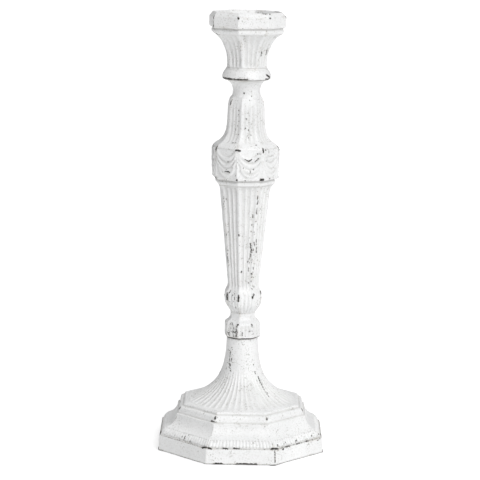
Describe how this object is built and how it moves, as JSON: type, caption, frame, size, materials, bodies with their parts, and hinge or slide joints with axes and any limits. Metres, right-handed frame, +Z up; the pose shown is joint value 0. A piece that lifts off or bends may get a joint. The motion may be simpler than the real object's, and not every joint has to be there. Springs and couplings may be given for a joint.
{
  "type": "candlestick",
  "caption": "Tall octagonal candlestick in white distressed cast iron: stepped foot, fluted tapering column and flared cup with a socket for a taper candle.",
  "frame": {"origin": "on the axis, in the plane of the surface the felt discs stand on", "axes": "+Z up along the axis to the cup's rim; -Y is the front, square to one flat side of the foot"},
  "size_m": [0.144, 0.144, 0.38],
  "materials": {
    "painted_iron": "matt off-white paint, chipped to dark iron on the edges",
    "zinc_steel": "bright zinc plate",
    "spring_steel": "blackened spring steel",
    "felt": "pressed black felt"
  },
  "bodies": {
    "root": {"base_casting": "painted_iron", "column_casting": "painted_iron", "cup_casting": "painted_iron", "tie_rod": "zinc_steel", "plain_washer": "zinc_steel", "spring_washer": "spring_steel", "hex_nut": "zinc_steel", "felt_discs": "felt"}
  },
  "joints": []
}
